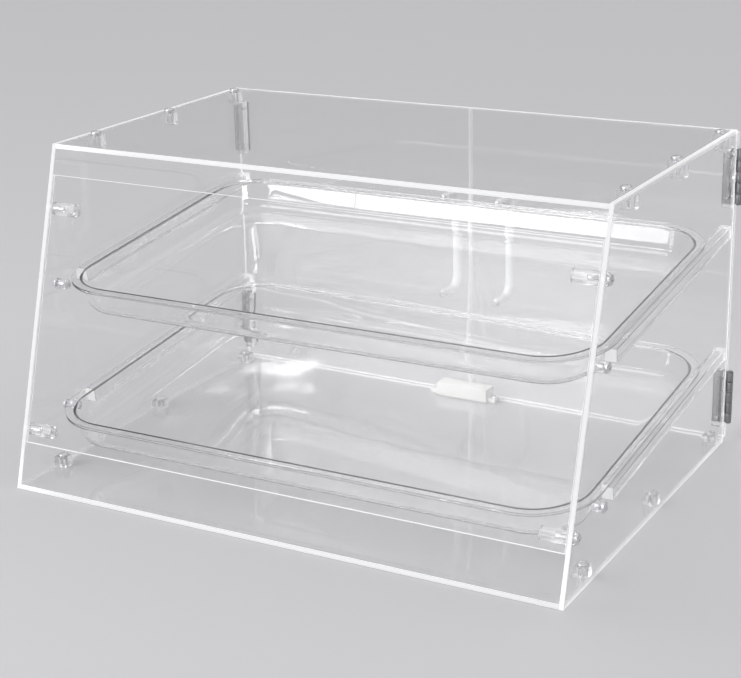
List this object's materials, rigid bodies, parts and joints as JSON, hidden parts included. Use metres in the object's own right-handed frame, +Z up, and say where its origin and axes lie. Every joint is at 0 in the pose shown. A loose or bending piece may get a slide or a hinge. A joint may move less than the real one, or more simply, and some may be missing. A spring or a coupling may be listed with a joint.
{
  "type": "bakery display case",
  "caption": "Clear countertop bakery display case with a leaning front, two sloping lift-out trays on rails and two rear doors on butt hinges with rod pulls and a magnetic catch.",
  "frame": {"origin": "centre of the underside of the base, on the table", "axes": "+X to the right seen from the front, +Y to the back with the doors, +Z up"},
  "size_m": [0.5426, 0.4237, 0.3012],
  "materials": {
    "clear_sheet": "clear polished acrylic sheet with flame-polished edges",
    "clear_rod": "clear polished acrylic rod",
    "clear_tray": "clear moulded polycarbonate",
    "hinge_steel": "dull nickel-plated steel",
    "chrome_screws": "bright chrome-plated steel",
    "white_plastic": "white moulded plastic",
    "magnet": "dark magnet with steel pole plates"
  },
  "bodies": {
    "case": {"left_side_panel": "clear_sheet", "right_side_panel": "clear_sheet", "top_panel": "clear_sheet", "bottom_panel": "clear_sheet", "front_panel": "clear_sheet", "lower_left_rail": "clear_sheet", "lower_right_rail": "clear_sheet", "upper_left_rail": "clear_sheet", "upper_right_rail": "clear_sheet", "left_tray_pegs": "clear_sheet", "right_tray_pegs": "clear_sheet", "left_peg_screws": "chrome_screws", "right_peg_screws": "chrome_screws", "left_top_blocks": "clear_sheet", "right_top_blocks": "clear_sheet", "left_top_screws": "chrome_screws", "right_top_screws": "chrome_screws", "left_bottom_blocks": "clear_sheet", "right_bottom_blocks": "clear_sheet", "left_bottom_screws": "chrome_screws", "right_bottom_screws": "chrome_screws", "left_front_standoffs": "clear_sheet", "right_front_standoffs": "clear_sheet", "left_standoff_screws": "chrome_screws", "right_standoff_screws": "chrome_screws", "left_hinge_blocks": "clear_sheet", "right_hinge_blocks": "clear_sheet", "lower_left_fixed_leaf": "hinge_steel", "upper_left_fixed_leaf": "hinge_steel", "lower_right_fixed_leaf": "hinge_steel", "upper_right_fixed_leaf": "hinge_steel", "lower_left_hinge_pin": "hinge_steel", "upper_left_hinge_pin": "hinge_steel", "lower_right_hinge_pin": "hinge_steel", "upper_right_hinge_pin": "hinge_steel", "left_fixed_leaf_screws": "hinge_steel", "right_fixed_leaf_screws": "hinge_steel", "catch_body": "white_plastic", "catch_magnets": "magnet", "catch_screws": "chrome_screws"},
    "left_door": {"left_door_panel": "clear_sheet", "left_door_leaf_screws": "hinge_steel", "left_handle": "clear_rod", "left_handle_screws": "chrome_screws", "left_strike_plate": "hinge_steel", "left_strike_screw": "hinge_steel", "lower_left_door_leaf": "hinge_steel", "upper_left_door_leaf": "hinge_steel"},
    "right_door": {"right_door_panel": "clear_sheet", "right_door_leaf_screws": "hinge_steel", "right_handle": "clear_rod", "right_handle_screws": "chrome_screws", "right_strike_plate": "hinge_steel", "right_strike_screw": "hinge_steel", "lower_right_door_leaf": "hinge_steel", "upper_right_door_leaf": "hinge_steel"},
    "lower_tray": {"lower_tray": "clear_tray"},
    "upper_tray": {"upper_tray": "clear_tray"}
  },
  "joints": [
    {"name": "left_door_hinge", "type": "hinge", "parent": "case", "child": "left_door", "pos_m": [-0.2683, 0.1936, 0.15], "axis": [0, 0, 1], "range_deg": [0, 180]},
    {"name": "right_door_hinge", "type": "hinge", "parent": "case", "child": "right_door", "pos_m": [0.2683, 0.1936, 0.15], "axis": [0, 0, 1], "range_deg": [-180, 0]},
    {"name": "lower_tray_slide", "type": "slide", "parent": "case", "child": "lower_tray", "axis": [0, 0.9936, 0.1132], "range_m": [0, 0.018]},
    {"name": "upper_tray_slide", "type": "slide", "parent": "case", "child": "upper_tray", "axis": [0, 0.9936, 0.1132], "range_m": [0, 0.018]}
  ]
}
